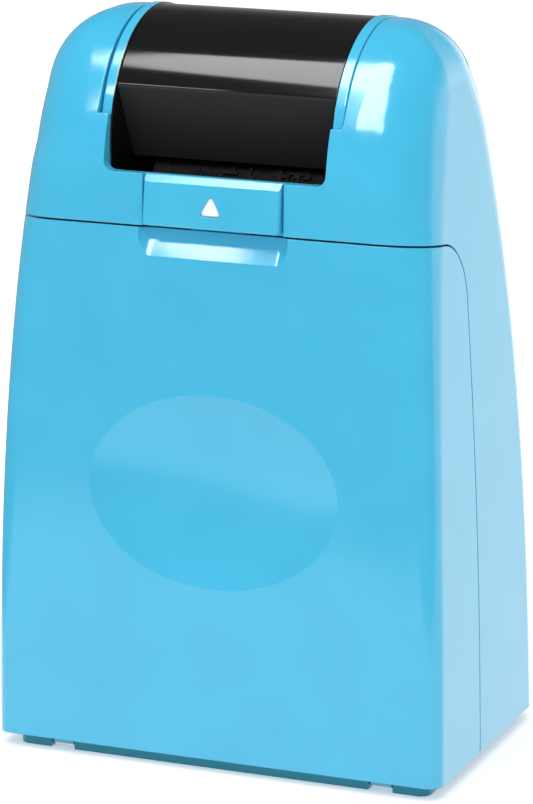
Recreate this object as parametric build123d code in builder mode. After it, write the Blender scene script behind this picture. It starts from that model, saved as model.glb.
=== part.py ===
from build123d import *
from math import sqrt, radians, degrees, cos, sin, atan2
import os

# Privacy roller stamp, standing on its flat foot with the roller head up.
# Millimetres. X is the width, -Y the front with the thumb dimple, +Z up.
# Origin: middle of the foot, on the surface that it stands on.

os.makedirs("parts", exist_ok=True)

# Outer form
body_half_width = 24.26
body_half_depth = 15.3
width_taper = 2.66
taper_power = 1.86
head_axis_y = -0.9
head_axis_z = 63.3
head_radius = 12.55
brow_lean = 0.5
brow_drop = 3.5
brow_rise = 5.9
rear_lean = 3.49
rear_taper_power = 0.9
nape_rise = 3.2
shoulder_radius = 7.13
front_corner_foot = 1.52
front_corner_head = 7.02
front_corner_crown = 0.6
front_corner_power = 3.3
front_crown_power = 3.7
rear_corner_foot = 2.37
rear_corner_head = 8.5
rear_corner_crown = 11.8
rear_corner_power = 3.1
rear_crown_power = 1.0
least_corner = 0.5
dome_corner_share = 0.96
shell_wall = 1.2
overrun = 5.0

# Foot and seam
foot_height = 1.5
foot_inset = 1.7
seam_gap = 0.2
seam_height = 56.0
seam_slope_share = 0.119
seam_side_top_y = -3.86
seam_side_foot_y = -2.6
seam_corner = 6.4

# Heights where the body sections are drawn, as shares of the height of the head axis
body_level_shares = (0.0, 0.05, 0.11, 0.2, 0.36, 0.54, 0.70, 0.83, 0.92, 0.97, 1.0)
# Heights above the head axis, as shares of the head radius
dome_level_shares = (0.12, 0.25, 0.38, 0.51, 0.63, 0.73, 0.82, 0.89, 0.945, 0.98, 0.995)

# Mouth and drum
cheek_width = 12.51
mouth_half_width = body_half_width - cheek_width
mouth_front_z = 61.2
mouth_rear_z = 58.5
mouth_corner = 1.0
drum_axis_y = -0.6
drum_axis_z = 63.5
disc_radius = 12.45
disc_side_gap = 0.15
disc_thickness = 1.2
slot_side_gap = 0.2
slot_clearance = 0.15
slot_front_z = 66.65
shutter_radius = 12.3
shutter_wall = 0.9
shutter_rear_angle = -32.0
shutter_crease_angle = 152.3
shutter_crease_radius = 0.5
flat_end_radius = 7.3
flat_end_angle = 195.3
roller_swing_gap = 0.25
roller_swing_side_gap = 0.6
drum_stub_radius = 2.2
bush_wall = 0.8
bush_clearance = 0.05
bush_flange = 0.6
bush_flange_radius = 3.9

# Stamp roller and inking
roller_orbit = 7.0
roller_rest_angle = 252.0
roller_radius = 6.0
rubber_thickness = 1.5
roller_end_gap = 2.0
roller_core_bore = 0.85
axle_radius = 0.75
axle_end_inset = 0.25
hub_radius = 2.0
hub_gap = 0.15
ink_radius = 3.6
ink_felt_thickness = 1.4
ink_contact_gap = 0.05
ink_axle_radius = 0.75
ink_end_gap = 2.3
reservoir_clearance = 0.4
reservoir_angle_span = 100.0
reservoir_wall = 0.8
wick_thickness = 1.2
wick_gap = 0.1
wick_reach = 0.7
wick_end_gap = 3.6

# Frame inside
arm_inner_gap = 0.75
arm_thickness = 2.0
arm_half_width = 4.2
frame_top_z = 46.0
frame_plate = 2.0
frame_setback = 6.8
frame_window = 30.0
frame_window_depth = 8.0
frame_window_corner = 2.25

# Release tab
tab_width = 14.5
tab_seam_gap = 0.2
tab_height = 5.0
tab_proud_bottom = 0.45
tab_sunk_top = 0.15
tab_setback = 0.95
tab_travel = 0.8
tab_side_gap = 0.25
tab_back_gap = 0.1
tab_edge_radius = 0.35
tab_top_slope = 0.65
neck_half_width = 3.0
neck_height = 1.0
neck_gap = 0.15
hook_setback = 2.0
hook_thickness = 0.6
hook_drop = 2.05
hook_reach_gap = 0.15
catch_height = 1.0
catch_thickness = 0.7
catch_half_width = 3.6
catch_gap = 0.25
shelf_thickness = 1.0
arrow_width = 2.4
arrow_height = 2.2
arrow_thickness = 0.2
arrow_proud = 0.05
arrow_corner = 0.3
arrow_rise = 2.4
leaf_thickness = 0.12
leaf_width = 4.6
leaf_depth = 0.4
leaf_rise = 1.15
neck_slot_spare = 0.45

# Front cover details and catch
dimple_centre_z = 29.7
dimple_half_width = 13.4
dimple_half_height = 10.0
dimple_depth = 1.3
dimple_bulge = 6.0
scoop_half_width = 8.0
scoop_drop = 2.9
scoop_slope = 1.5
scoop_depth = 0.95
scoop_radius = 1.4
backing_half_width = 9.0
backing_setback = 1.8
backing_height = 4.3
wall_bite = 0.4

# Cover hinge at the foot
hinge_setback = 2.65
hinge_z = 1.0
hinge_pin_radius = 0.45
hinge_pin_gap = 0.05
hinge_lug_radius = 0.85
hinge_lug_width = 2.2
hinge_lug_inset = 6.76
hinge_knuckle_radius = 0.95
hinge_knuckle_width = 1.4
hinge_side_gap = 0.2
hinge_lug_height = 4.0

# Foot
foot_rim_height = 2.5
foot_rim_wall = 1.2
foot_rim_gap = 0.25
foot_rim_front_y = 0.0
foot_corner = 1.2
screw_radius = 0.9
screw_head_radius = 1.8
screw_length = 4.6
screw_head_height = 0.9
screw_side_inset = 3.1
screw_depth_inset = 3.0
screw_post_radius = 2.2
screw_post_height = 3.5
screw_slot_width = 0.5
screw_slot_depth = 0.4
screw_head_rise = 0.15

# Return spring on the left stub
spring_wire = 0.5
spring_radius = 2.95
spring_turns = 2
spring_pitch = 0.95
spring_leg = 4.0
spring_end_gap = 0.1
clip_thickness = 0.6
clip_radius = 3.6
clip_groove = 0.4


def body_half(z, inset):
    """Half of the width at a height, with the shoulder as an arc near the top."""
    radius = shoulder_radius - inset
    centre_z = head_axis_z + head_radius - shoulder_radius
    slope = width_taper * taper_power / head_axis_z
    tangent_z = centre_z + radius * slope
    half = body_half_width - inset - width_taper * (min(z, tangent_z) / head_axis_z) ** taper_power
    if z > tangent_z:
        centre_x = half - radius * sqrt(1 - slope**2)
        half = centre_x + sqrt(max(radius**2 - (z - centre_z) ** 2, 0))
    return half


def dome_reach(z, inset):
    """Distance from the head axis to the head's round surface at a height."""
    return sqrt(max((head_radius - inset) ** 2 - (z - head_axis_z) ** 2, 0))


def smooth(share):
    share = min(max(share, 0), 1)
    return share**2 * (3 - 2 * share)


def front_y(z, inset):
    """Front face, bowed a little, which runs into the round head above the brow."""
    face = -body_half_depth + brow_lean * (z / head_axis_z) ** 2 + inset
    blend = smooth((z - head_axis_z + brow_drop) / (brow_drop + brow_rise))
    return face * (1 - blend) + (head_axis_y - dome_reach(z, inset)) * blend


def rear_y(z, inset):
    """Rear face, which leans forward up to the head axis and then rounds over."""
    lean = rear_lean * (min(z, head_axis_z) / head_axis_z) ** rear_taper_power
    face = body_half_depth - lean - inset
    blend = smooth((z - head_axis_z) / nape_rise)
    return face * (1 - blend) + (head_axis_y + dome_reach(z, inset)) * blend


def corner(z, inset, foot, head, crown, power, crown_power):
    """Corner radius of the plan at a height: one law up to the head axis and one above it."""
    if z < head_axis_z:
        radius = foot + (head - foot) * (z / head_axis_z) ** power
    else:
        radius = head + (crown - head) * ((z - head_axis_z) / head_radius) ** crown_power
    half_depth = (rear_y(z, inset) - front_y(z, inset)) / 2
    return min(max(radius - inset, least_corner), half_depth * dome_corner_share)


def front_corner(z, inset):
    return corner(z, inset, front_corner_foot, front_corner_head, front_corner_crown,
                  front_corner_power, front_crown_power)


def rear_corner(z, inset):
    return corner(z, inset, rear_corner_foot, rear_corner_head, rear_corner_crown,
                  rear_corner_power, rear_crown_power)


def body_form(inset, bottom_z):
    """The whole outer form, or the same form drawn in by a wall.

    Each level is a rectangle with its own front and rear corner radii.
    """
    levels = [bottom_z + (head_axis_z - bottom_z) * share for share in body_level_shares]
    levels += [head_axis_z + (head_radius - inset) * share for share in dome_level_shares]
    with BuildPart() as form:
        for z in levels:
            front, rear = front_y(z, inset), rear_y(z, inset)
            with BuildSketch(Plane.XY.offset(z)) as level:
                with Locations((0, (front + rear) / 2)):
                    Rectangle(2 * body_half(z, inset), rear - front)
                fillet(level.vertices().group_by(Axis.Y)[0], front_corner(z, inset))
                fillet(level.vertices().group_by(Axis.Y)[-1], rear_corner(z, inset))
        loft()
    return form.part


def drum_plane(x):
    """Plane square to the drum's axis: local X is to the rear, local Y is up."""
    return Plane(origin=(x, drum_axis_y, drum_axis_z), x_dir=(0, 1, 0), z_dir=(1, 0, 0))


def polar(radius, angle):
    return (radius * cos(radians(angle)), radius * sin(radians(angle)))


def seam_region(grow):
    """Everything in front of the seam, with the seam moved out by grow.

    The seam falls a little to the rear, and then turns down the side.
    """
    top_y = seam_side_top_y + grow
    turn_drop = (body_half_depth + top_y) * seam_slope_share
    with BuildPart() as region:
        with BuildSketch(Plane.YZ) as side:
            with BuildLine():
                Polyline(
                    (-body_half_depth - overrun, -overrun),
                    (-body_half_depth - overrun, seam_height + grow + overrun * seam_slope_share),
                    (top_y, seam_height + grow - turn_drop),
                    (seam_side_foot_y + grow, -overrun),
                    close=True,
                )
            make_face()
            bend = side.vertices().sort_by(Axis.Y)[-2:].sort_by(Axis.X)[-1]
            fillet(bend, seam_corner + grow)
        extrude(amount=body_half_width + overrun, both=True)
    return region.part


outer_form = body_form(0, foot_height)
inner_form = body_form(shell_wall, foot_height)
disc_inner_x = mouth_half_width - disc_side_gap
disc_outer_x = disc_inner_x + disc_thickness
slot_half_width = disc_outer_x + slot_side_gap
slot_radius = disc_radius + slot_clearance
swing_radius = roller_orbit + roller_radius
roller_half_length = disc_inner_x - roller_end_gap

# Places of the release tab, which follow the seam and the front
tab_bottom_z = seam_height + tab_seam_gap
tab_top_z = tab_bottom_z + tab_height
tab_front_bottom = body_half_depth + tab_proud_bottom
tab_front_top = body_half_depth - tab_sunk_top
tab_back = body_half_depth - tab_setback
hook_front = body_half_depth - hook_setback
hook_end_z = seam_height - hook_drop
neck_top_z = tab_bottom_z + neck_gap + neck_height
neck_slot_top = neck_top_z + tab_travel + neck_slot_spare

# Rear housing: head, back and the rear of both sides in one shell
mouth_reach = head_radius * 2
with BuildPart() as rear_housing:
    add(outer_form)
    add(inner_form, mode=Mode.SUBTRACT)
    add(seam_region(seam_gap / 2), mode=Mode.SUBTRACT)
    with BuildSketch(Plane.XZ.offset(-drum_axis_y)):
        with Locations((0, mouth_front_z + mouth_reach / 2)):
            RectangleRounded(2 * mouth_half_width, mouth_reach, mouth_corner)
    extrude(amount=mouth_reach, mode=Mode.SUBTRACT)
    with BuildSketch(Plane.XZ.offset(-drum_axis_y)):
        with Locations((0, mouth_rear_z + mouth_reach / 2)):
            RectangleRounded(2 * slot_half_width, mouth_reach, mouth_corner)
    extrude(amount=-mouth_reach, mode=Mode.SUBTRACT)
    with BuildSketch(Plane.XZ.offset(-drum_axis_y)):
        with Locations((0, slot_front_z + mouth_reach / 2)):
            Rectangle(2 * slot_half_width, mouth_reach)
    extrude(amount=mouth_reach, mode=Mode.SUBTRACT)
    with BuildSketch(drum_plane(-slot_half_width)):
        Circle(slot_radius)
    extrude(amount=2 * slot_half_width, mode=Mode.SUBTRACT)
    swing_half = roller_half_length + roller_swing_side_gap
    with BuildSketch(drum_plane(-swing_half)):
        Circle(swing_radius + roller_swing_gap)
    extrude(amount=2 * swing_half, mode=Mode.SUBTRACT)
    with BuildSketch(Plane.XZ.offset(tab_back - tab_back_gap)):
        with Locations((0, (seam_height + mouth_front_z) / 2)):
            Rectangle(tab_width + 2 * tab_side_gap, mouth_front_z - seam_height + 2 * seam_gap)
    extrude(amount=overrun, mode=Mode.SUBTRACT)
    slot_bottom_z = seam_height - overrun
    with BuildSketch(Plane.XZ.offset(hook_front - hook_thickness)):
        with Locations((0, (slot_bottom_z + neck_slot_top) / 2)):
            Rectangle(2 * (neck_half_width + neck_gap), neck_slot_top - slot_bottom_z)
    extrude(amount=overrun, mode=Mode.SUBTRACT)
rear_housing.part.label = "rear_housing"
export_step(rear_housing.part, "parts/rear_housing.step")

# Drum side discs, whose rims stand in the slots beside the mouth
arm_inner_x = disc_outer_x + arm_inner_gap
arm_outer_x = arm_inner_x + arm_thickness
stamp_axis = polar(roller_orbit, roller_rest_angle)
ink_offset = roller_radius + ink_contact_gap + ink_radius - roller_orbit
ink_axis = polar(-ink_offset, roller_rest_angle)


def drum_disc(side, stub_end_x):
    """A disc with its stub shaft, and sockets for the two axles. side is 1 or -1."""
    with BuildPart() as disc:
        with BuildSketch(drum_plane(side * disc_inner_x)):
            Circle(disc_radius)
        extrude(amount=side * (disc_outer_x - disc_inner_x))
        with BuildSketch(drum_plane(side * disc_outer_x)):
            Circle(drum_stub_radius)
        extrude(amount=side * (stub_end_x - disc_outer_x))
        with BuildSketch(drum_plane(side * disc_inner_x)):
            with Locations(stamp_axis, ink_axis):
                Circle(axle_radius)
        extrude(amount=side * (disc_outer_x - disc_inner_x - axle_end_inset), mode=Mode.SUBTRACT)
        rim = disc.edges().filter_by(GeomType.CIRCLE).sort_by(SortBy.RADIUS)[-2:]
        fillet(rim, disc_side_gap)
    return disc.part


# The spring and its clip stand outside the left arm
spring_start_x = arm_outer_x + spring_end_gap + spring_wire / 2
spring_end_x = spring_start_x + spring_turns * spring_pitch
clip_x = spring_end_x + spring_wire / 2 + spring_end_gap
stub_left_end = clip_x + 2 * clip_thickness

right_disc = drum_disc(1, arm_outer_x)
right_disc.label = "right_drum_disc"
export_step(right_disc, "parts/right_drum_disc.step")

with BuildPart() as left_drum_disc:
    add(drum_disc(-1, stub_left_end))
    with BuildSketch(drum_plane(-clip_x)):
        Circle(drum_stub_radius)
        Circle(drum_stub_radius - clip_groove, mode=Mode.SUBTRACT)
    extrude(amount=-clip_thickness, mode=Mode.SUBTRACT)
left_drum_disc.part.label = "left_drum_disc"
export_step(left_drum_disc.part, "parts/left_drum_disc.step")

with BuildPart() as drum_clip:
    with BuildSketch(drum_plane(-clip_x)):
        Circle(clip_radius)
        Circle(drum_stub_radius - clip_groove, mode=Mode.SUBTRACT)
        with Locations((0, -clip_radius / 2)):
            Rectangle(2 * (drum_stub_radius - clip_groove), clip_radius, mode=Mode.SUBTRACT)
    extrude(amount=-clip_thickness)
drum_clip.part.label = "drum_clip"
export_step(drum_clip.part, "parts/drum_clip.step")

# Shutter: an arc over the roller and a flat that turns in behind the mouth
crease = Vector(*polar(shutter_radius, shutter_crease_angle))
flat_end = Vector(*polar(flat_end_radius, flat_end_angle))
along = (flat_end - crease).normalized()
inward = Vector(-along.Y, along.X)
inner_start = crease + inward * shutter_wall
inner_radius = shutter_radius - shutter_wall
reach = -inner_start.dot(along) - sqrt(inner_start.dot(along) ** 2 - inner_start.length**2 + inner_radius**2)
inner_crease = inner_start + along * reach
inner_crease_angle = degrees(atan2(inner_crease.Y, inner_crease.X))
with BuildPart() as drum_shutter:
    with BuildSketch(drum_plane(-disc_inner_x)) as shutter_section:
        with BuildLine():
            CenterArc((0, 0), shutter_radius, shutter_rear_angle, shutter_crease_angle - shutter_rear_angle)
            Line(crease, flat_end)
            Line(flat_end, flat_end + inward * shutter_wall)
            Line(flat_end + inward * shutter_wall, inner_crease)
            CenterArc((0, 0), inner_radius, shutter_rear_angle, inner_crease_angle - shutter_rear_angle)
            Line(polar(inner_radius, shutter_rear_angle), polar(shutter_radius, shutter_rear_angle))
        make_face()
        fillet(shutter_section.vertices().sort_by_distance(crease)[0], shutter_crease_radius)
    extrude(amount=2 * disc_inner_x)
drum_shutter.part.label = "drum_shutter"
export_step(drum_shutter.part, "parts/drum_shutter.step")


def tube(centre, outer_radius, bore, half_length, label):
    """A plain tube along the drum's axis direction, written under its label."""
    with BuildPart() as piece:
        with BuildSketch(drum_plane(-half_length)):
            with Locations(centre):
                Circle(outer_radius)
                if bore:
                    Circle(bore, mode=Mode.SUBTRACT)
        extrude(amount=2 * half_length)
    piece.part.label = label
    export_step(piece.part, "parts/" + label + ".step")
    return piece.part


axle_half = disc_outer_x - axle_end_inset
stamp_core_radius = roller_radius - rubber_thickness
ink_core_radius = ink_radius - ink_felt_thickness
hub_half = disc_inner_x - hub_gap
ink_half_length = disc_inner_x - ink_end_gap
wick_half_length = disc_inner_x - wick_end_gap
tube(stamp_axis, axle_radius, 0, axle_half, "stamp_roller_axle")
tube(ink_axis, ink_axle_radius, 0, axle_half, "ink_roller_axle")
tube(stamp_axis, roller_radius, stamp_core_radius, roller_half_length, "stamp_rubber_sleeve")
tube(ink_axis, ink_radius, ink_core_radius, ink_half_length, "ink_roller_felt")


def roller_core(centre, core_radius, core_half_length, bore, label):
    """A core with a narrow hub at each end that keeps it off the discs."""
    with BuildPart() as core:
        with BuildSketch(drum_plane(-core_half_length)):
            with Locations(centre):
                Circle(core_radius)
        extrude(amount=2 * core_half_length)
        with BuildSketch(drum_plane(-hub_half)):
            with Locations(centre):
                Circle(hub_radius)
        extrude(amount=2 * hub_half)
        with BuildSketch(drum_plane(-hub_half)):
            with Locations(centre):
                Circle(bore)
        extrude(amount=2 * hub_half, mode=Mode.SUBTRACT)
    core.part.label = label
    export_step(core.part, "parts/" + label + ".step")


roller_core(stamp_axis, stamp_core_radius, roller_half_length, roller_core_bore, "stamp_roller_core")
roller_core(ink_axis, ink_core_radius, ink_half_length, roller_core_bore, "ink_roller_core")

# Ink reservoir in the drum behind the shutter, with a wick to the ink roller
ink_angle = roller_rest_angle - 180
reservoir_outer = inner_radius - reservoir_clearance
reservoir_inner = ink_offset + ink_radius + wick_reach
reservoir_start = ink_angle - reservoir_angle_span / 2
with BuildPart() as ink_reservoir:
    with BuildSketch(drum_plane(-disc_inner_x)):
        with BuildLine():
            CenterArc((0, 0), reservoir_outer, reservoir_start, reservoir_angle_span)
            Line(polar(reservoir_outer, reservoir_start + reservoir_angle_span),
                 polar(reservoir_inner, reservoir_start + reservoir_angle_span))
            CenterArc((0, 0), reservoir_inner, reservoir_start, reservoir_angle_span)
            Line(polar(reservoir_inner, reservoir_start), polar(reservoir_outer, reservoir_start))
        make_face()
    extrude(amount=2 * disc_inner_x)
    wall_angle = degrees(reservoir_wall / reservoir_inner)
    hollow_span = reservoir_angle_span - 2 * wall_angle
    with BuildSketch(drum_plane(-disc_inner_x + reservoir_wall)):
        with BuildLine():
            CenterArc((0, 0), reservoir_outer - reservoir_wall, reservoir_start + wall_angle, hollow_span)
            Line(polar(reservoir_outer - reservoir_wall, reservoir_start + wall_angle + hollow_span),
                 polar(reservoir_inner + reservoir_wall, reservoir_start + wall_angle + hollow_span))
            CenterArc((0, 0), reservoir_inner + reservoir_wall, reservoir_start + wall_angle, hollow_span)
            Line(polar(reservoir_inner + reservoir_wall, reservoir_start + wall_angle),
                 polar(reservoir_outer - reservoir_wall, reservoir_start + wall_angle))
        make_face()
    extrude(amount=2 * (disc_inner_x - reservoir_wall), mode=Mode.SUBTRACT)
    wick_plane = drum_plane(-wick_half_length)
    with BuildSketch(wick_plane):
        with Locations(polar(reservoir_inner + reservoir_wall / 2, ink_angle)):
            Rectangle(2 * reservoir_wall, wick_thickness, rotation=ink_angle)
    extrude(amount=2 * wick_half_length, mode=Mode.SUBTRACT)
ink_reservoir.part.label = "ink_reservoir"
export_step(ink_reservoir.part, "parts/ink_reservoir.step")

wick_inner = ink_offset + ink_radius + wick_gap
wick_outer = reservoir_inner + 2 * reservoir_wall
with BuildPart() as ink_wick:
    with BuildSketch(wick_plane):
        with Locations(polar((wick_inner + wick_outer) / 2, ink_angle)):
            Rectangle(wick_outer - wick_inner, wick_thickness, rotation=ink_angle)
    extrude(amount=2 * wick_half_length)
ink_wick.part.label = "ink_wick"
export_step(ink_wick.part, "parts/ink_wick.step")

# Bearing bushes of the drum, with the flange towards the disc
bush_radius = drum_stub_radius + bush_wall


def drum_bush(side, label):
    with BuildPart() as bush:
        with BuildSketch(drum_plane(side * (arm_inner_x - bush_flange))):
            Circle(bush_flange_radius)
        extrude(amount=side * bush_flange)
        with BuildSketch(drum_plane(side * arm_inner_x)):
            Circle(bush_radius)
        extrude(amount=side * arm_thickness)
        with BuildSketch(drum_plane(side * (arm_inner_x - bush_flange))):
            Circle(drum_stub_radius + bush_clearance)
        extrude(amount=side * (arm_thickness + bush_flange), mode=Mode.SUBTRACT)
    bush.part.label = label
    export_step(bush.part, "parts/" + label + ".step")


drum_bush(1, "right_drum_bush")
drum_bush(-1, "left_drum_bush")

# Frame: two side plates with the bearing arms, tied by an upper and a lower plate
frame_half_depth = body_half_depth - frame_setback
screw_x = arm_inner_x - screw_side_inset
screw_y = frame_half_depth - screw_depth_inset
arm_top_z = drum_axis_z + arm_half_width + overrun
with BuildPart() as inner_frame:
    with BuildSketch(Plane.YZ.offset(-arm_outer_x)):
        with Locations((0, (frame_top_z + foot_height) / 2)):
            Rectangle(2 * frame_half_depth, frame_top_z - foot_height)
        with Locations((drum_axis_y, (frame_top_z + drum_axis_z) / 2)):
            Rectangle(2 * arm_half_width, drum_axis_z - frame_top_z)
        with Locations((drum_axis_y, drum_axis_z)):
            Circle(arm_half_width)
            Circle(bush_radius, mode=Mode.SUBTRACT)
        with Locations((0, (frame_top_z + foot_height) / 2)):
            RectangleRounded(frame_window_depth, frame_window, frame_window_corner, mode=Mode.SUBTRACT)
    extrude(amount=2 * arm_outer_x)
    with BuildSketch(Plane.YZ.offset(-arm_inner_x)):
        with Locations((0, arm_top_z / 2)):
            Rectangle(4 * frame_half_depth, arm_top_z)
        with Locations((0, frame_top_z - frame_plate / 2), (0, foot_height + frame_plate / 2)):
            Rectangle(2 * frame_half_depth, frame_plate, mode=Mode.SUBTRACT)
    extrude(amount=2 * arm_inner_x, mode=Mode.SUBTRACT)
    with BuildSketch(Plane.XY.offset(foot_height + frame_plate)):
        with GridLocations(2 * screw_x, 2 * screw_y, 2, 2):
            Circle(screw_post_radius)
    extrude(amount=screw_post_height - frame_plate)
    with BuildSketch(Plane.XY.offset(foot_height)):
        with GridLocations(2 * screw_x, 2 * screw_y, 2, 2):
            Circle(screw_radius)
    extrude(amount=screw_post_height, mode=Mode.SUBTRACT)
inner_frame.part.label = "inner_frame"
export_step(inner_frame.part, "parts/inner_frame.step")


# Foot: an inset plate with a rim inside the housing, and the knuckles of the cover hinge
hinge_y = hinge_setback - body_half_depth
hinge_lug_x = body_half_width - hinge_lug_inset
plate_half = body_half(foot_height, foot_inset)
plate_front, plate_rear = front_y(foot_height, foot_inset), rear_y(foot_height, foot_inset)
rim_inset = shell_wall + foot_rim_gap
knuckle_offset = hinge_lug_width / 2 + hinge_side_gap + hinge_knuckle_width / 2
knuckle_end = knuckle_offset + hinge_knuckle_width / 2
lug_slot = hinge_lug_width + 2 * hinge_side_gap
slot_back_y = hinge_y + hinge_lug_radius + hinge_side_gap
with BuildPart() as base_foot:
    with BuildSketch() as plan:
        with Locations((0, (plate_front + plate_rear) / 2)):
            Rectangle(2 * plate_half, plate_rear - plate_front)
        fillet(plan.vertices(), foot_corner)
    extrude(amount=foot_height)
    with BuildSketch(Plane.XY.offset(foot_height)):
        for inset, mode in ((rim_inset, Mode.ADD), (rim_inset + foot_rim_wall, Mode.SUBTRACT)):
            rim_front, rim_rear = front_y(foot_height, inset), rear_y(foot_height, inset)
            with Locations((0, (rim_front + rim_rear) / 2)):
                RectangleRounded(2 * body_half(foot_height, inset), rim_rear - rim_front, rear_corner_foot, mode=mode)
        with Locations((0, foot_rim_front_y - body_half_depth)):
            Rectangle(4 * body_half_width, 2 * body_half_depth, mode=Mode.SUBTRACT)
    extrude(amount=foot_rim_height)
    for x in (-hinge_lug_x, hinge_lug_x):
        for knuckle_x in (x - knuckle_offset, x + knuckle_offset):
            with BuildSketch(Plane.YZ.offset(knuckle_x - hinge_knuckle_width / 2)):
                with Locations((hinge_y, hinge_z)):
                    Circle(hinge_knuckle_radius)
            extrude(amount=hinge_knuckle_width)
        with BuildSketch(Plane.YZ.offset(x - lug_slot / 2)):
            with Locations((slot_back_y - body_half_depth / 2, 0)):
                Rectangle(body_half_depth, 2 * body_half_depth)
        extrude(amount=lug_slot, mode=Mode.SUBTRACT)
        with BuildSketch(Plane.YZ.offset(x - knuckle_end)):
            with Locations((hinge_y, hinge_z)):
                Circle(hinge_pin_radius)
        extrude(amount=2 * knuckle_end, mode=Mode.SUBTRACT)
    with BuildSketch():
        with GridLocations(2 * screw_x, 2 * screw_y, 2, 2):
            Circle(screw_radius)
    extrude(amount=foot_height, mode=Mode.SUBTRACT)
    with BuildSketch():
        with GridLocations(2 * screw_x, 2 * screw_y, 2, 2):
            Circle(screw_head_radius)
    extrude(amount=screw_head_height, mode=Mode.SUBTRACT)
base_foot.part.label = "base_foot"
export_step(base_foot.part, "parts/base_foot.step")

with BuildPart() as foot_screws:
    with BuildSketch(Plane.XY.offset(screw_head_rise)):
        with GridLocations(2 * screw_x, 2 * screw_y, 2, 2):
            Circle(screw_head_radius)
    extrude(amount=screw_head_height - screw_head_rise)
    with BuildSketch(Plane.XY.offset(screw_head_height)):
        with GridLocations(2 * screw_x, 2 * screw_y, 2, 2):
            Circle(screw_radius)
    extrude(amount=screw_length - screw_head_height)
    with BuildSketch(Plane.XY.offset(screw_head_rise)):
        with GridLocations(2 * screw_x, 2 * screw_y, 2, 2):
            Rectangle(2 * screw_radius, screw_slot_width)
            Rectangle(screw_slot_width, 2 * screw_radius)
    extrude(amount=screw_slot_depth, mode=Mode.SUBTRACT)
foot_screws.part.label = "foot_screws"
export_step(foot_screws.part, "parts/foot_screws.step")

# Steel pins of the cover hinge, pressed into the foot's knuckles
for side, label in ((-1, "left_hinge_pin"), (1, "right_hinge_pin")):
    with BuildPart() as hinge_pin:
        with BuildSketch(Plane.YZ.offset(side * hinge_lug_x - knuckle_end)):
            with Locations((hinge_y, hinge_z)):
                Circle(hinge_pin_radius)
        extrude(amount=2 * knuckle_end)
    hinge_pin.part.label = label
    export_step(hinge_pin.part, "parts/" + label + ".step")


def dimple_form(grow):
    """Flattened ball that presses the thumb dimple into the front, grown by a wall."""
    rim_share = sqrt(1 - ((dimple_bulge - dimple_depth) / dimple_bulge) ** 2)
    face_y = front_y(dimple_centre_z, 0)
    shape = scale(
        Sphere(1, mode=Mode.PRIVATE),
        by=(dimple_half_width / rim_share + grow, dimple_bulge + grow, dimple_half_height / rim_share + grow),
    )
    return shape.moved(Location((0, face_y - dimple_bulge + dimple_depth, dimple_centre_z)))


# Front cover: the front and the front part of both sides, with the dimple, scoop, catch and hinge lugs
cover_top_z = seam_height - seam_gap / 2
backing_y = body_half_depth - backing_setback
scoop_back_y = front_y(seam_height, scoop_depth)
scoop_floor_z = seam_height - scoop_drop
catch_top_z = hook_end_z - hook_reach_gap
shelf_top_z = catch_top_z - catch_height
catch_front_y = -hook_front + hook_thickness + catch_gap
inner_front_y = front_y(seam_height, shell_wall)
dimple_hollow = dimple_form(0)
dimple_skin = dimple_form(shell_wall)
with BuildPart() as dimple_back:
    add(inner_form)
    add(dimple_skin, mode=Mode.INTERSECT)
with BuildPart() as scoop:
    with BuildSketch(Plane.YZ.offset(-scoop_half_width)):
        with BuildLine():
            Polyline(
                (scoop_back_y, seam_height + scoop_slope),
                (scoop_back_y, scoop_floor_z + scoop_slope),
                (scoop_back_y - 2 * scoop_depth, scoop_floor_z - scoop_slope),
                (scoop_back_y - 2 * scoop_depth, seam_height + scoop_slope),
                close=True,
            )
        make_face()
    extrude(amount=2 * scoop_half_width)
    slope_ends = scoop.faces().sort_by(Axis.Z)[0].edges().filter_by(Axis.X, reverse=True)
    back_ends = scoop.faces().sort_by(Axis.Y)[-1].edges().filter_by(Axis.Z)
    fillet(slope_ends + back_ends, scoop_radius)
with BuildPart() as front_cover:
    add(outer_form)
    add(inner_form, mode=Mode.SUBTRACT)
    add(dimple_back.part)
    with BuildSketch(Plane.XZ.offset(backing_y)):
        with Locations((0, cover_top_z - backing_height / 2)):
            Rectangle(2 * backing_half_width, backing_height)
    extrude(amount=-inner_front_y - backing_y + wall_bite)
    add(dimple_hollow, mode=Mode.SUBTRACT)
    add(scoop.part, mode=Mode.SUBTRACT)
    add(seam_region(-seam_gap / 2), mode=Mode.INTERSECT)
    with BuildSketch(Plane.YZ.offset(-catch_half_width)):
        with BuildLine():
            Polyline(
                (-backing_y - wall_bite, shelf_top_z),
                (catch_front_y, shelf_top_z),
                (catch_front_y, catch_top_z),
                (catch_front_y + catch_thickness, catch_top_z),
                (catch_front_y + catch_thickness, shelf_top_z - shelf_thickness),
                (-backing_y - wall_bite, shelf_top_z - shelf_thickness),
                close=True,
            )
        make_face()
    extrude(amount=2 * catch_half_width)
    lug_wall_y = front_y(foot_height, shell_wall) - wall_bite
    for x in (-hinge_lug_x, hinge_lug_x):
        with BuildSketch(Plane.YZ.offset(x - hinge_lug_width / 2)):
            with Locations((hinge_y, hinge_z)):
                Circle(hinge_lug_radius)
            with BuildLine():
                Polyline(
                    (hinge_y - hinge_lug_radius, hinge_z),
                    (hinge_y + hinge_lug_radius, hinge_z),
                    (hinge_y + hinge_lug_radius, hinge_z + hinge_lug_radius),
                    (lug_wall_y, hinge_z + hinge_lug_height),
                    (lug_wall_y, foot_height + hinge_side_gap),
                    (hinge_y - hinge_lug_radius, foot_height + hinge_side_gap),
                    close=True,
                )
            make_face()
            with Locations((hinge_y, hinge_z)):
                Circle(hinge_pin_radius + hinge_pin_gap, mode=Mode.SUBTRACT)
        extrude(amount=hinge_lug_width)
front_cover.part.label = "front_cover"
export_step(front_cover.part, "parts/front_cover.step")

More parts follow.
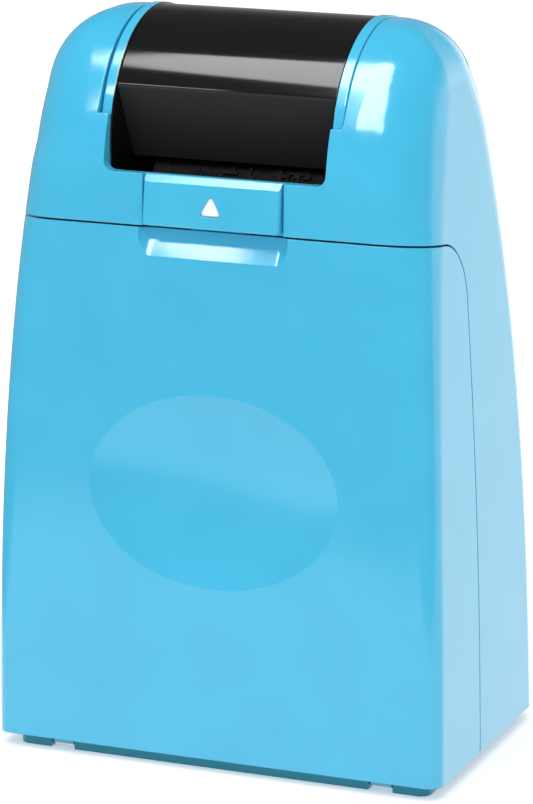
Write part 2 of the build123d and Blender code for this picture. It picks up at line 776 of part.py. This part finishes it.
# Release tab: a plate over the recess, a neck through the head's wall and a hook behind the cover
tab_slope_z = tab_top_z - tab_top_slope
arrow_centre_z = tab_bottom_z + arrow_rise
with BuildPart() as release_tab:
    with BuildSketch(Plane.YZ.offset(-tab_width / 2)) as tab_side:
        with BuildLine():
            Polyline(
                (-tab_back, tab_bottom_z),
                (-tab_front_bottom, tab_bottom_z),
                (-tab_front_top, tab_slope_z),
                (-tab_back - tab_back_gap, tab_top_z),
                (-tab_back, tab_top_z),
                close=True,
            )
        make_face()
        fillet(tab_side.vertices().sort_by(Axis.X)[0], tab_edge_radius)
    extrude(amount=tab_width)
    ends = release_tab.faces().filter_by(Axis.X)
    fillet(ends.edges().filter_by_position(Axis.Y, -tab_front_bottom, -tab_front_top), tab_edge_radius)
    with BuildSketch(Plane.YZ.offset(-neck_half_width)):
        with BuildLine():
            Polyline(
                (-tab_back - tab_back_gap, neck_top_z - neck_height),
                (-hook_front, neck_top_z - neck_height),
                (-hook_front, hook_end_z),
                (-hook_front + hook_thickness, hook_end_z),
                (-hook_front + hook_thickness, neck_top_z),
                (-tab_back - tab_back_gap, neck_top_z),
                close=True,
            )
        make_face()
    extrude(amount=2 * neck_half_width)
    face_lean = degrees(atan2(tab_front_bottom - tab_front_top, tab_slope_z - tab_bottom_z))
    arrow_share = (arrow_centre_z - tab_bottom_z) / (tab_slope_z - tab_bottom_z)
    arrow_y = -tab_front_bottom + (tab_front_bottom - tab_front_top) * arrow_share
    tab_face = Plane(
        origin=(0, arrow_y, arrow_centre_z),
        x_dir=(1, 0, 0),
        z_dir=(0, -cos(radians(face_lean)), sin(radians(face_lean))),
    )
    with BuildSketch(tab_face.offset(arrow_proud - arrow_thickness)) as arrow_outline:
        with BuildLine():
            Polyline(
                (-arrow_width / 2, -arrow_height / 2),
                (arrow_width / 2, -arrow_height / 2),
                (0, arrow_height / 2),
                close=True,
            )
        make_face()
        fillet(arrow_outline.vertices(), arrow_corner)
    extrude(amount=arrow_thickness, mode=Mode.SUBTRACT)
release_tab.part.label = "release_tab"
export_step(release_tab.part, "parts/release_tab.step")

with BuildPart() as tab_arrow:
    add(arrow_outline.sketch)
    extrude(amount=arrow_thickness)
tab_arrow.part.label = "tab_arrow"
export_step(tab_arrow.part, "parts/tab_arrow.step")

# Leaf spring between the tab's neck and the top of its slot
with BuildPart() as tab_spring:
    with BuildSketch(Plane.XZ.offset(tab_back - tab_back_gap - leaf_depth)):
        with BuildLine():
            ThreePointArc((-leaf_width / 2, neck_top_z), (0, neck_top_z + leaf_rise), (leaf_width / 2, neck_top_z))
            Line((leaf_width / 2, neck_top_z), (leaf_width / 2 - leaf_thickness, neck_top_z))
            ThreePointArc(
                (leaf_width / 2 - leaf_thickness, neck_top_z),
                (0, neck_top_z + leaf_rise - leaf_thickness),
                (-leaf_width / 2 + leaf_thickness, neck_top_z),
            )
            Line((-leaf_width / 2 + leaf_thickness, neck_top_z), (-leaf_width / 2, neck_top_z))
        make_face()
    extrude(amount=leaf_depth)
tab_spring.part.label = "tab_spring"
export_step(tab_spring.part, "parts/tab_spring.step")

# Return spring of the drum, wound round the left stub from a leg on the arm to a leg at the clip


def spring_point(turn):
    """A point on the coil after so many turns, starting in front of the stub."""
    across, up = polar(spring_radius, 180 + 360 * turn)
    return (-spring_start_x - spring_pitch * turn, drum_axis_y + across, drum_axis_z + up)


with BuildPart() as drum_spring:
    with BuildLine():
        first, last = spring_point(0), spring_point(spring_turns)
        Line((first[0], first[1], first[2] + spring_leg), first)
        for quarter in range(4 * spring_turns):
            ThreePointArc(
                spring_point(quarter / 4), spring_point((quarter + 0.5) / 4), spring_point((quarter + 1) / 4)
            )
        Line(last, (last[0], last[1], last[2] - spring_leg))
    with BuildSketch(Plane(origin=(first[0], first[1], first[2] + spring_leg), z_dir=(0, 0, -1))):
        Circle(spring_wire / 2)
    sweep()
drum_spring.part.label = "drum_spring"
export_step(drum_spring.part, "parts/drum_spring.step")
print("least gap between the spring's turns", spring_pitch - spring_wire)
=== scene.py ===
# %% [markdown]
# Privacy roller stamp
#
# A blue hand stamp stands on its foot. A black shutter closes the mouth in its round head, and behind it
# an inked roller waits. The shapes come from a packed model, and this notebook gives them their finish:
# moulded plastic, rubber, felt and steel. It also makes two pieces of its own: the roller's sleeve, whose
# pattern is too fine for the model, and a bent leaf spring that rides with the tab.

# %% Load the model
import math
import random

import bmesh
import bpy
from mathutils import Matrix, Vector


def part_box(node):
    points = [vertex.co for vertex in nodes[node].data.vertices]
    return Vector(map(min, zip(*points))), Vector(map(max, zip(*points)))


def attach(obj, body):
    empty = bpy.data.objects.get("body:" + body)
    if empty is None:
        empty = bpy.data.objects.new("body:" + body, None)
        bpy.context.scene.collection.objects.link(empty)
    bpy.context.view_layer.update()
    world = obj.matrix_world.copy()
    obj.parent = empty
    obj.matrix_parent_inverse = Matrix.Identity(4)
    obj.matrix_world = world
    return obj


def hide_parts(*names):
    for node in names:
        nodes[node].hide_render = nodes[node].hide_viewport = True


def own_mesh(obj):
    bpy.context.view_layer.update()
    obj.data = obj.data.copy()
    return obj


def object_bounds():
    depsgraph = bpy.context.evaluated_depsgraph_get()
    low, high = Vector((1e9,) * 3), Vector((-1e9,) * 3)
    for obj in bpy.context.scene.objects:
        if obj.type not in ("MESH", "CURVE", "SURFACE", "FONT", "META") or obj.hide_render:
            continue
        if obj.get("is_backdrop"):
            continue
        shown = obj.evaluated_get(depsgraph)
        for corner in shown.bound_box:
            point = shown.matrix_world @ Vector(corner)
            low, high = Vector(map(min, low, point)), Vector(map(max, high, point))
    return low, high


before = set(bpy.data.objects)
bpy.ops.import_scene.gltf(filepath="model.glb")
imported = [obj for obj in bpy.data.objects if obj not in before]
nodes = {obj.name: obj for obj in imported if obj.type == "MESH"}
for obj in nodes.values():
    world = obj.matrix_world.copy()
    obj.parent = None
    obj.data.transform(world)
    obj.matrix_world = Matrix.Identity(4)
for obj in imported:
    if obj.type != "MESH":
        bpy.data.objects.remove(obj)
cad_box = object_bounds()
MM = 0.001

# %% [markdown]
# The camera stands to the right of the stamp and a little above it. A long lens keeps the upright edges
# almost parallel, as in a catalogue picture. Its place is given by two angles and a distance from a point
# inside the body, because those are the numbers that one turns when a view has to match.


# %% Camera
def direction(azimuth, elevation):
    """A unit vector: azimuth 0 is the front and 90 the right side, in degrees."""
    turn, rise = math.radians(azimuth), math.radians(elevation)
    return Vector((math.sin(turn) * math.cos(rise), -math.cos(turn) * math.cos(rise), math.sin(rise)))


AIM = Vector((-0.35, 0, 35.30)) * MM
VIEW_TURN, VIEW_RISE, VIEW_DISTANCE = 22.2, 14.1, 400.3 * MM
SENSOR, FOCAL_SHARE = 36, 3900 / 804
toward_camera = direction(VIEW_TURN, VIEW_RISE)
camera = bpy.data.objects.new("camera", bpy.data.cameras.new("camera"))
bpy.context.scene.collection.objects.link(camera)
camera.data.sensor_width = SENSOR
camera.data.lens = SENSOR * FOCAL_SHARE
camera.data.clip_start = 0.01
camera.location = AIM + toward_camera * VIEW_DISTANCE
camera.rotation_mode = "QUATERNION"
camera.rotation_quaternion = (-toward_camera).to_track_quat("-Z", "Y")
bpy.context.scene.camera = camera
bpy.context.scene.view_settings.view_transform = "Standard"
print("lens", round(camera.data.lens, 1), "mm")

# %% [markdown]
# A finish is a network of small nodes, and two classes make it readable. The first wraps one output of a
# node, so that a plain sum in Python, such as 1 - mask, adds the Math node that works it out.


# %% Sockets
class Socket:
    """One output of a node, which takes part in Python sums."""

    def __init__(self, finish, output):
        self.finish, self.output = finish, output

    def math(self, operation, *values):
        return self.finish.node("ShaderNodeMath", {"operation": operation}, values)

    def __add__(self, other):
        return self.math("ADD", self, other)

    def __mul__(self, other):
        return self.math("MULTIPLY", self, other)

    def __sub__(self, other):
        return self.math("SUBTRACT", self, other)

    def __rsub__(self, other):
        return self.math("SUBTRACT", other, self)

    __radd__, __rmul__ = __add__, __mul__

    def above(self, edge, width):
        """0 below the edge and 1 above it, with a soft step of that width."""
        settings = {"interpolation_type": "SMOOTHSTEP"}
        return self.finish.node("ShaderNodeMapRange", settings, (self, edge - width / 2, edge + width / 2))

    def along(self, line):
        """How far a place lies along a line from the origin."""
        settings = {"operation": "DOT_PRODUCT"}
        return self.finish.node("ShaderNodeVectorMath", settings, (self, tuple(line)), "Value")

    def size(self):
        """The value without its sign."""
        return self.math("ABSOLUTE", self)


print("a Socket knows", ", ".join(name for name in vars(Socket) if name[0] != "_"))

# %% [markdown]
# The second class wraps one material, or the world. Its method node() adds any node from its type, its
# settings and its inputs. The methods after it are short names for what returns on most pieces: a place,
# noise, a mix of two colours, a relief and softly rounded edges.


# %% Finishes
class Finish:
    """The nodes of a material, or of the world, which are added one at a time."""

    def __init__(self, owner):
        owner.use_nodes = True
        self.owner, self.tree = owner, owner.node_tree
        kind = "Principled BSDF" if isinstance(owner, bpy.types.Material) else "Background"
        self.shader = self.tree.nodes[kind]

    def node(self, kind, settings=None, values=(), output=0):
        """Adds a node, sets it up, fills its inputs by place or name and gives back one output."""
        made = self.tree.nodes.new(kind)
        for key, value in (settings or {}).items():
            setattr(made, key, value)
        for key, value in values.items() if isinstance(values, dict) else enumerate(values):
            self.put(made.inputs[key], value)
        return Socket(self, made.outputs[output])

    def put(self, target, value):
        if isinstance(value, Socket):
            self.tree.links.new(value.output, target)
        else:
            target.default_value = value

    def set(self, **values):
        """Sets the shader's own sockets, named with _ for a space."""
        for key, value in values.items():
            self.put(self.shader.inputs[key.replace("_", " ")], value)
        return self

    def place(self):
        """Where a point lies on the object, in metres, whatever the view."""
        return self.node("ShaderNodeTexCoord", output="Object")

    def noise(self, size, detail=2.0, stretch=None):
        """Cloudy noise whose lumps are about that many millimetres across."""
        where = self.place()
        if stretch:
            where = self.node("ShaderNodeVectorMath", {"operation": "MULTIPLY"}, (where, stretch))
        values = {"Vector": where, "Scale": 1 / (size * MM), "Detail": detail}
        return self.node("ShaderNodeTexNoise", {}, values)

    def mix(self, share, first, second):
        """Goes from the first colour to the second."""
        return self.node("ShaderNodeMix", {"data_type": "RGBA"}, {0: share, 6: first, 7: second}, 2)

    def bump(self, height, depth, strength=1.0, normal=None):
        """Turns a height from 0 to 1 into a surface relief of that many millimetres."""
        values = {"Strength": strength, "Distance": depth * MM, "Height": height}
        if normal:
            values["Normal"] = normal
        return self.node("ShaderNodeBump", {}, values)

    def rounded(self, radius):
        """Softens every hard edge with a highlight, as a mould's edge has."""
        return self.node("ShaderNodeBevel", {"samples": 6}, {"Radius": radius * MM})


def new_finish(name):
    return Finish(bpy.data.materials.new(name))


print("a Finish knows", ", ".join(name for name in vars(Finish) if name[0] != "_"))

# %% [markdown]
# A colour is written here as it looks on a screen, from 0 to 255. A shader adds up light instead, so tint()
# turns the one into the other. The two blues were set by comparing renders with the photograph. The foot's
# is the same blue made darker: painted shade for the shadow that lies on the foot under the body's overhang.


# %% Colours
def tint(red, green, blue):
    """A colour as it looks on a screen, 0 to 255, as the shader wants it."""
    shares = [value / 255 for value in (red, green, blue)]
    return [s / 12.92 if s <= 0.04045 else ((s + 0.055) / 1.055) ** 2.4 for s in shares] + [1]


def wear(finish, *names):
    """Gives a finish to the named pieces of the model."""
    for name in names:
        nodes[name].data.materials.clear()
        nodes[name].data.materials.append(finish.owner)
    print(finish.owner.name, "on", ", ".join(names))


# The foot's blue is the shell's blue made darker: painted shade for the shadow under the body.
SKY_BLUE, FOOT_BLUE_PAINTED_SHADE = (72, 189, 228), (24, 142, 164)
print("sky blue as the shader has it:", [round(value, 3) for value in tint(*SKY_BLUE)])

# %% [markdown]
# The blue shell is injection moulded from glossy plastic. A real moulding is never one flat colour: the
# melt leaves slow, faint clouds in it, and the skin has a fine grain that breaks up the reflections. So
# the colour follows a large noise, and the roughness and the relief a small one. The Bevel node rounds the
# normals near every edge, because a mould has no sharp ones, and that gives the thin light lines along
# the seam and the tab. Sizes and depths are in millimetres, and a low roughness is a high gloss.

# %% Moulded plastic
GRAIN_SIZE, WAVE_SIZE, MOULD_EDGE = 0.35, 8.0, 0.12
SHELL_GRAIN, WAVE_TO_GRAIN = 0.002, 5
SHELL_ROUGHNESS, ROUGHNESS_SPREAD = 0.13, 0.12


def moulded(name, colour, roughness, grain, clouds=4):
    """Plastic in one colour, whose grain is that deep and whose clouds are darker by that much."""
    finish = new_finish(name)
    skin = finish.noise(GRAIN_SIZE, 3.0)
    waves = finish.noise(WAVE_SIZE, 1.0)
    deep = [max(value - clouds, 0) for value in colour]
    fine = finish.bump(skin, grain, 0.5, finish.rounded(MOULD_EDGE))
    return finish.set(
        Base_Color=finish.mix(waves.above(0.5, 0.5), tint(*colour), tint(*deep)),
        Roughness=(skin - 0.5) * ROUGHNESS_SPREAD + roughness,
        Normal=finish.bump(waves, grain * WAVE_TO_GRAIN, 0.3, fine),
    )


shell = moulded("sky blue plastic", SKY_BLUE, SHELL_ROUGHNESS, SHELL_GRAIN)
wear(shell, "rear_housing", "front_cover", "release_tab")
wear(moulded("foot plastic with painted shade", FOOT_BLUE_PAINTED_SHADE, 0.5, 0.01), "base_foot")
wear(moulded("white mark", (244, 247, 249), 0.45, 0.003, clouds=2), "tab_arrow")

# %% [markdown]
# The drum's discs are blue at the rim, where they show as thin strips beside the mouth, and black on the
# face towards the roller. So one finish holds both plastics and changes over at a set distance from the
# middle.

# %% Drum discs
ACROSS, BACK, UP = (1, 0, 0), (0, 1, 0), (0, 0, 1)
skin_depth, sharp_edge = 0.16 * MM, 0.05 * MM
change_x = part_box("right_drum_disc")[0][0] + skin_depth
disc = new_finish("disc plastic")
disc_skin = disc.noise(GRAIN_SIZE, 3.0)
disc_rim = disc.place().along(ACROSS).size().above(change_x, sharp_edge)
disc.set(
    Base_Color=disc.mix(disc_rim, tint(12, 12, 13), tint(*SKY_BLUE)),
    Roughness=(disc_skin - 0.5) * ROUGHNESS_SPREAD + SHELL_ROUGHNESS,
    Normal=disc.bump(disc_skin, SHELL_GRAIN, 0.5, disc.rounded(MOULD_EDGE)),
)
wear(disc, "left_drum_disc", "right_drum_disc")
print("the discs turn blue at", round(change_x / MM, 2), "mm from the middle")

# %% [markdown]
# The shutter's arc is the glossiest surface. It is nearly black, so that almost all one sees of it is the
# room in its polish: a pale bar from the card above, and darkness below it. Its relief is kept tiny, because
# a wavy mirror would look like wet paint. The flat that turns in below the crease is matt and a little
# greyer, which keeps the blue of the tab out of it. The greyer colour is painted light, for the floor's
# light on it.

# %% Black shutter
crease_z, flat_back_y = 69.3 * MM, -6.5 * MM
arc_roughness, flat_roughness, arc_grain = 0.06, 0.58, 0.0006
black = new_finish("black plastic")
place, black_skin = black.place(), black.noise(GRAIN_SIZE, 3.0)
low_part = 1 - place.along(UP).above(crease_z, 0.1 * MM)
front_part = 1 - place.along(BACK).above(flat_back_y, MM)
# The flat is really matt, and its colour is painted greyer than the arc's: painted light for the floor's
# light on it.
matt_flat_painted_lighter = low_part * front_part
black.set(
    Base_Color=black.mix(matt_flat_painted_lighter, tint(23, 23, 24), tint(40, 40, 41)),
    Roughness=matt_flat_painted_lighter * (flat_roughness - arc_roughness) + black_skin * 0.04 + arc_roughness,
    Normal=black.bump(black_skin, arc_grain, 0.5, black.rounded(MOULD_EDGE)),
    Specular_IOR_Level=0.23,
)
wear(black, "drum_shutter")

# %% [markdown]
# The pieces inside are plain plastics in greys, and less glossy than the shell.

# %% Plastics inside
wear(moulded("frame plastic", (150, 155, 160), 0.5, 0.008), "inner_frame")
wear(moulded("bush plastic", (225, 225, 220), 0.35, 0.004), "left_drum_bush", "right_drum_bush")
wear(moulded("roller core plastic", (105, 108, 112), 0.5, 0.008), "stamp_roller_core", "ink_roller_core")
wear(moulded("reservoir plastic", (38, 38, 42), 0.45, 0.006), "ink_reservoir")

# %% [markdown]
# Felt is a mat of short fibres. Up close it has two scales: lumps of matted fibre and the single hairs,
# which catch the light at the rim. Noise that is stretched in one direction gives the hairs, and the
# shader's sheen gives the soft rim. Ink has soaked in unevenly, so the colour follows the lumps.

# %% Felt and wick
LUMP_SIZE, LUMP_DEPTH = 0.9, 0.2
HAIR_SIZE, HAIR_DEPTH, HAIR_STRETCH = 0.12, 0.08, (0.35, 1, 1)


def felted(name, dry, inked, soak):
    """Felt that is inked where its lumps rise above a share and dry elsewhere."""
    finish = new_finish(name)
    lumps = finish.noise(LUMP_SIZE, 4.0)
    hairs = finish.noise(HAIR_SIZE, 3.0, HAIR_STRETCH)
    return finish.set(
        Base_Color=finish.mix(lumps.above(soak, 0.3), tint(*dry), tint(*inked)),
        Roughness=hairs * 0.1 + 0.85,
        Normal=finish.bump(hairs, HAIR_DEPTH, 0.8, finish.bump(lumps, LUMP_DEPTH, 0.6)),
        Sheen_Weight=0.4,
        Sheen_Roughness=0.5,
    )


wear(felted("inked felt", (52, 50, 60), (17, 16, 24), 0.42), "ink_roller_felt")
wear(felted("wick felt", (150, 146, 140), (38, 36, 48), 0.5), "ink_wick")

# %% [markdown]
# The axles, pins, screws and springs are plain bright steel. Drawn wire and turned pins have fine lines
# along their length, which spread a reflection across them. A noise stretched along X does that for
# every piece here that lies along the width, and its effect on the others is too small to see.

# %% Steel
line_width, line_stretch, line_depth, steel_edge = 0.1, (0.05, 1, 1), 0.01, 0.08
steel = new_finish("bright steel")
lines = steel.noise(line_width, 2.0, line_stretch)
stains = steel.noise(1.5).above(0.55, 0.4)
steel.set(
    Base_Color=steel.mix(stains, tint(205, 207, 210), tint(186, 188, 192)),
    Metallic=1.0,
    Roughness=(lines - 0.5) * 0.2 + 0.28,
    Normal=steel.bump(lines, line_depth, 0.5, steel.rounded(steel_edge)),
)
wear(steel, "stamp_roller_axle", "ink_roller_axle", "left_hinge_pin", "right_hinge_pin",
     "foot_screws", "drum_spring", "tab_spring", "drum_clip")

# %% [markdown]
# The rubber sleeve carries the stamp's pattern: hundreds of short raised strokes that print one over the
# other, until the writing below can't be read. It is too fine for the packed model, so this piece stands
# in for the plain sleeve. It starts as a tube of small faces. Strokes are laid on that grid with a seeded
# random draw, so that each run gives the same roller, and the marked faces are extruded outwards.

# %% Grid of the sleeve
low, high = (Vector(corner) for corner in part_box("stamp_rubber_sleeve"))
middle = (low + high) / 2
outer, length = (high.z - low.z) / 2, high.x - low.x
inner = (Vector(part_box("stamp_roller_core")[1]).z - Vector(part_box("stamp_roller_core")[0]).z) / 2
relief = 0.25 * MM
around, across, stroke_count, seed = 100, 52, 360, 12
print("sleeve", round(outer / MM, 2), "mm in radius and", round(length / MM, 1), "mm long")


def lay_strokes(count):
    """The cells of the grid that short strokes cover, each stroke with an end foot or a bar."""
    draw = random.Random(seed)
    marked = set()
    for _ in range(count):
        turn, along, size = draw.randrange(around), draw.randrange(2, across - 7), draw.choice((3, 4, 5))
        if draw.random() < 0.5:
            marked.update((turn, along + step) for step in range(size))
            marked.add(((turn + 1) % around, along + draw.choice((0, size - 1))))
        else:
            marked.update(((turn + step) % around, along) for step in range(size))
            marked.add(((turn + draw.choice((0, size - 1))) % around, along + 1))
    return marked


strokes = lay_strokes(stroke_count)
print(len(strokes), "of", around * across, "cells are raised")

# %% [markdown]
# The ends of the tube are rings, and its bore is a smaller tube, so that the sleeve is one closed form.
# All of it is made round the roller's own axis and then moved to where the packed sleeve lies.


# %% Build the sleeve
def ring(mesh, x, radius):
    """A circle of vertices round the X axis."""
    made = []
    for step in range(around):
        angle = math.tau * step / around
        made.append(mesh.verts.new((x, radius * math.cos(angle), radius * math.sin(angle))))
    return made


def skin_between(mesh, first, second):
    """Faces that join two rings, in order."""
    faces = []
    for step in range(around):
        after = (step + 1) % around
        faces.append(mesh.faces.new((first[step], second[step], second[after], first[after])))
    return faces


mesh = bmesh.new()
ground = [ring(mesh, length * (column / across - 0.5), outer - relief) for column in range(across + 1)]
cells = [skin_between(mesh, ground[column], ground[column + 1]) for column in range(across)]
bore = [ring(mesh, -length / 2, inner), ring(mesh, length / 2, inner)]
skin_between(mesh, bore[0], ground[0])
skin_between(mesh, ground[-1], bore[1])
skin_between(mesh, bore[1], bore[0])
raised = [cells[along][turn] for turn, along in sorted(strokes)]
grown = bmesh.ops.extrude_face_region(mesh, geom=raised)["geom"]
for vertex in (item for item in grown if isinstance(item, bmesh.types.BMVert)):
    vertex.co.yz *= outer / (outer - relief)
bmesh.ops.delete(mesh, geom=raised, context="FACES_ONLY")
bmesh.ops.recalc_face_normals(mesh, faces=mesh.faces)
bmesh.ops.transform(mesh, matrix=Matrix.Translation(middle), verts=mesh.verts)
sleeve = bpy.data.objects.new("patterned_sleeve", bpy.data.meshes.new("patterned_sleeve"))
mesh.to_mesh(sleeve.data)
mesh.free()
bpy.context.scene.collection.objects.link(sleeve)
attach(sleeve, "stamp_roller")
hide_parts("stamp_rubber_sleeve")
print("sleeve has", len(sleeve.data.polygons), "faces")

# %% [markdown]
# Stamp rubber is matt, and ink darkens it. The ink lies on it as an uneven film, so the colour follows a
# cloudy noise, and nothing in it is brighter than dark grey.

# %% Rubber
film_size, pore_size, pore_depth, rubber_edge = 0.6, 0.15, 0.02, 0.05
rubber = new_finish("stamp rubber")
film, pores = rubber.noise(film_size, 4.0), rubber.noise(pore_size, 2.0)
rubber.set(
    Base_Color=rubber.mix(film.above(0.5, 0.3), tint(18, 17, 20), tint(7, 7, 10)),
    Roughness=film * 0.2 + 0.7,
    Specular_IOR_Level=0.1,
    Normal=rubber.bump(pores, pore_depth, 0.5, rubber.rounded(rubber_edge)),
)
sleeve.data.materials.append(rubber.owner)
print(rubber.owner.name, "on", sleeve.name)

# %% [markdown]
# The tab's leaf spring is a thin bent strip between the tab's neck and the top of its slot. When the tab is
# pushed up, a real leaf flattens, but a stiff one would cut into the housing. This strip stands in for
# the packed leaf and rides with the tab. Its section has four corners, and each bend of the
# strip repeats them along an arc that has the packed leaf's rise and span.

# %% Leaf spring
leaf_low, leaf_high = (Vector(corner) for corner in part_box("tab_spring"))
strip, bends, pressed_share = 0.12 * MM, 24, 0.37
rise, half_span = leaf_high.z - leaf_low.z, (leaf_high.x - leaf_low.x) / 2
bow = (half_span**2 + rise**2) / (2 * rise)
level = bow - rise
under = bow - strip
section = ((bow, leaf_low.y), (bow, leaf_high.y), (under, leaf_high.y), (under, leaf_low.y))
corners, sides = [], []
for bend in range(bends + 1):
    share = 2 * bend / bends - 1
    for radius, y in section:
        angle = share * math.acos(level / radius)
        corners.append((radius * math.sin(angle), y, leaf_low.z + radius * math.cos(angle) - level))
for here in range(0, 4 * bends, 4):
    there = here + 4
    for side in range(4):
        after = (side + 1) % 4
        sides.append([here + side, there + side, there + after, here + after])
sides += [[0, 1, 2, 3], [4 * bends + side for side in (3, 2, 1, 0)]]
leaf_mesh = bpy.data.meshes.new("pressed_leaf")
leaf_mesh.from_pydata(corners, [], sides)
leaf_mesh.materials.append(steel.owner)
leaf = bpy.data.objects.new("pressed_leaf", leaf_mesh)
bpy.context.scene.collection.objects.link(leaf)
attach(leaf, "tab")
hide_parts("tab_spring")
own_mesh(leaf)
print("leaf", round(rise / MM, 2), "mm high, and", round(pressed_share * rise / MM, 2), "mm when pressed")

# %% [markdown]
# The studio is a white table that ends a short way in front of the stamp, with a white wall behind it
# and a dim room in front. That is what one reads in the reflections of the real thing: the side face
# mirrors the bright wall, the front face the dim room, and the thumb dimple shows the table's front edge
# as a pale crescent. The camera sees plain white, and diffuse light stays even, so that the colours come
# out as written. Only mirrored rays see the difference between table and room. Of the four levels, DARK
# is overhead, DIM in front, BRIGHT the wall and the table, and EVEN lights the stamp all round.

# %% Room
DARK, DIM, BRIGHT, EVEN = 0.12, 0.35, 1.8, 0.7
toward = direction(VIEW_TURN, 0)


def levels(mask, low, high):
    """Light for mirrored rays: low where the mask is 0 and high where it is 1."""
    return mask * (high - low) + low


world = bpy.data.worlds.new("white room")
bpy.context.scene.world = world
room = Finish(world)
gaze = room.node("ShaderNodeTexCoord", output="Generated")
wall_top, dark_from, fade = 0.22, 0.3, 0.5
height = gaze.along(UP)
behind = 1 - gaze.along(toward).above(0.0, 0.3)
beside = gaze.along(ACROSS).above(-0.1, 0.2)
wall = behind * beside * (1 - height.above(wall_top, fade))
mirrored = levels(wall, 0, BRIGHT) + levels(height.above(dark_from, fade), DIM, DARK)
is_glossy = room.node("ShaderNodeLightPath", output="Is Glossy Ray")
is_seen = room.node("ShaderNodeLightPath", output="Is Camera Ray")
is_through = room.node("ShaderNodeLightPath", output="Is Transmission Ray")
is_diffuse = 1 - is_glossy - is_seen - is_through
room.set(Color=(1, 1, 1, 1), Strength=is_glossy * mirrored + is_seen + is_through + is_diffuse * EVEN)
print("room: dark", DARK, "dim", DIM, "bright", BRIGHT, "even", EVEN)

# %% [markdown]
# The floor must look white and still hold the stamp's shadow. So it is a real matt surface that is lit
# like the stamp, and it glows a little for the camera alone, which lifts the lit part to white. A mirrored
# ray gets the table's level instead, or the dim one where the table has ended.

# %% Floor
reach, camera_glow = 3, 0.4
table_front, front_fade, table_left, left_fade = 85 * MM, 25 * MM, -70 * MM, 30 * MM
floor_mesh = bpy.data.meshes.new("floor")
floor_corners = [(-reach, -reach, 0), (reach, -reach, 0), (reach, reach, 0), (-reach, reach, 0)]
floor_mesh.from_pydata(floor_corners, [], [(0, 1, 2, 3)])
floor = bpy.data.objects.new("floor", floor_mesh)
bpy.context.scene.collection.objects.link(floor)
floor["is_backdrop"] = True
table = new_finish("white table")
before_edge = 1 - table.place().along(toward).above(table_front, front_fade)
right_of_end = table.place().along(ACROSS).above(table_left, left_fade)
on_table = before_edge * right_of_end
seen = table.node("ShaderNodeLightPath", output="Is Camera Ray")
table.set(
    Base_Color=tint(236, 237, 238),
    Roughness=0.7,
    Specular_IOR_Level=0.0,
    Emission_Color=table.mix(seen, (0, 0, 0, 1), (1, 1, 1, 1)),
    Emission_Strength=camera_glow,
)
glow = table.node("ShaderNodeEmission", {}, {"Strength": levels(on_table, DIM, BRIGHT)})
glossy = table.node("ShaderNodeLightPath", output="Is Glossy Ray")
matt = Socket(table, table.shader.outputs[0])
surface = table.node("ShaderNodeMixShader", {}, {0: glossy, 1: matt, 2: glow})
table.put(table.tree.nodes["Material Output"].inputs["Surface"], surface)
floor.data.materials.append(table.owner)
print("floor", 2 * reach, "m wide, and the table ends", round(table_front / MM), "mm in front")

# %% [markdown]
# A wide soft box gives the shading and the shadow. The crisp highlights come from white cards instead, as in
# a product studio: a mirrored ray sees them and nothing else does, so that their shine can change without a
# change to the exposure.


# %% Soft box
def face_along(thing, line):
    """Turns a thing so that its Z points along a line and its X stays level."""
    thing.rotation_mode = "QUATERNION"
    thing.rotation_quaternion = line.to_track_quat("Z", "Y")


key = bpy.data.objects.new("soft box", bpy.data.lights.new("soft box", "AREA"))
bpy.context.scene.collection.objects.link(key)
key_line, key_distance = direction(10, 60), 0.7
key.data.size = 0.6
key.data.energy = 2.9
key.location = AIM + key_line * key_distance
face_along(key, key_line)
key.visible_glossy = False
print(key.name, round(key.data.energy, 1), "W")

# %% [markdown]
# A card is a flat sheet with an Emission material. Its outline is given in millimetres from its middle. The
# large card hangs overhead. The bulge on its left edge shapes the bar on the shutter and the light on the
# tab's slope, and the rest of its outline shapes the patch on the right cheek. The small card is so near
# that only the lip of the finger scoop mirrors it.

# %% Cards
card_glow = 18.0
shine = new_finish("card shine")
light = shine.node("ShaderNodeEmission", {}, {"Strength": card_glow})
shine.put(shine.tree.nodes["Material Output"].inputs["Surface"], light)


def card(name, centre, facing, outline):
    """A flat white card that only mirrored rays see, with its outline in millimetres."""
    sheet = bpy.data.meshes.new(name)
    sheet.from_pydata([(x * MM, y * MM, 0) for x, y in outline], [], [range(len(outline))])
    sheet.materials.append(shine.owner)
    made = bpy.data.objects.new(name, sheet)
    bpy.context.scene.collection.objects.link(made)
    made.location = centre
    face_along(made, facing)
    made.visible_camera = made.visible_diffuse = made.visible_shadow = made.visible_transmission = False
    made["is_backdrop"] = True
    print(name, "with", len(outline), "corners")


overhead, overhead_distance, lip_distance = Vector((0, -0.45, 0.89)).normalized(), 0.6, 50 * MM
bulge = [(-198, -60), (-256, 14), (-275, 80), (-268, 150), (-262, 203), (-212, 218)]
around_cheek = [(-205, 265), (45, 195), (131, -88), (225, -235), (-192, -245)]
card("overhead card", AIM + overhead * overhead_distance, overhead, around_cheek + bulge)
scoop_lip = Vector((-2, -15, 53.6)) * MM
lip_line = direction(-34, 46.5)
lip_outline = [(-9, -1.3), (4.5, -1.3), (4.5, 5), (-9, 5)]
card("lip card", scoop_lip + lip_line * lip_distance, lip_line, lip_outline)

# %% [markdown]
# The boxes of the packed model and of the visual one are kept side by side, and the visual one's size is
# printed. The visual model may not outgrow the packed one.

# %% Sizes and finish
boxes = {"cad": [list(corner) for corner in cad_box], "visual": [list(corner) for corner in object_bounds()]}
print("size in mm:", [round((high - low) / MM, 2) for low, high in zip(*boxes["visual"])])
